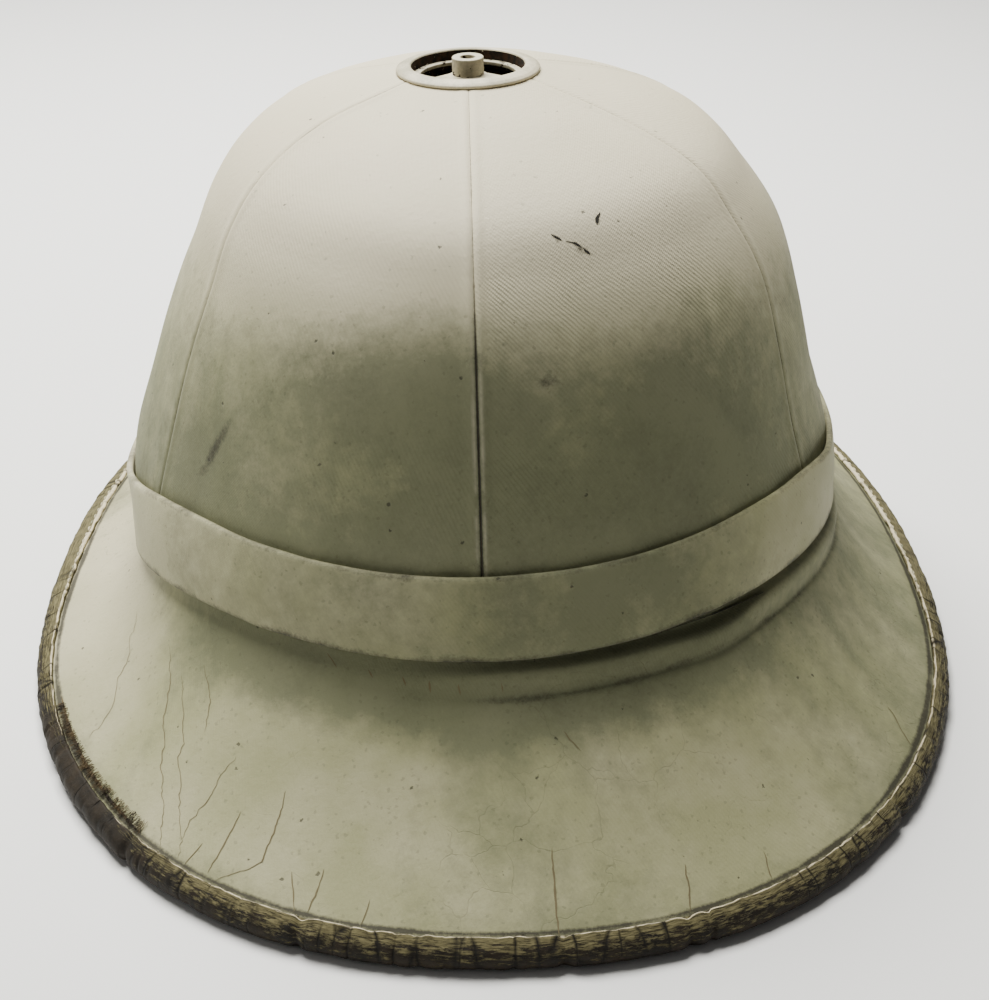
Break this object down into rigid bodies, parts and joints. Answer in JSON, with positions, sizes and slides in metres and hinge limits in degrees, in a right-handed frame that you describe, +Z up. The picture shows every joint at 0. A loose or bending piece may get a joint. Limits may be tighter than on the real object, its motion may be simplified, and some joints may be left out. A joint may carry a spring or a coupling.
{
  "type": "pith helmet",
  "caption": "Worn pith sun helmet with a sewn cloth crown, cloth band, bell-shaped brim with leather edge binding, and a metal ventilator.",
  "frame": {"origin": "centre of the underside of the bounding box, on the surface that the rim stands on", "axes": "+Z up through the crown, -Y towards the helmet's front, +X towards its left side as worn, which is on the right seen from the front"},
  "size_m": [0.2722, 0.3506, 0.165],
  "materials": {
    "shell_pith": "matt pressed pith",
    "crown_cloth": "matt painted twill, grimy",
    "brim_cloth": "matt painted twill, cracked",
    "band_cloth": "matt painted cloth, grimy",
    "binding_leather": "dark leather with flaking cream paint",
    "vent_metal": "cream paint over rusty steel"
  },
  "bodies": {
    "root": {"helmet_shell": "shell_pith", "crown_panel_1": "crown_cloth", "crown_panel_2": "crown_cloth", "crown_panel_3": "crown_cloth", "crown_panel_4": "crown_cloth", "crown_panel_5": "crown_cloth", "crown_panel_6": "crown_cloth", "brim_cover": "brim_cloth", "crown_band": "band_cloth", "edge_binding": "binding_leather", "vent_collar": "vent_metal", "vent_spider": "vent_metal"}
  },
  "joints": []
}
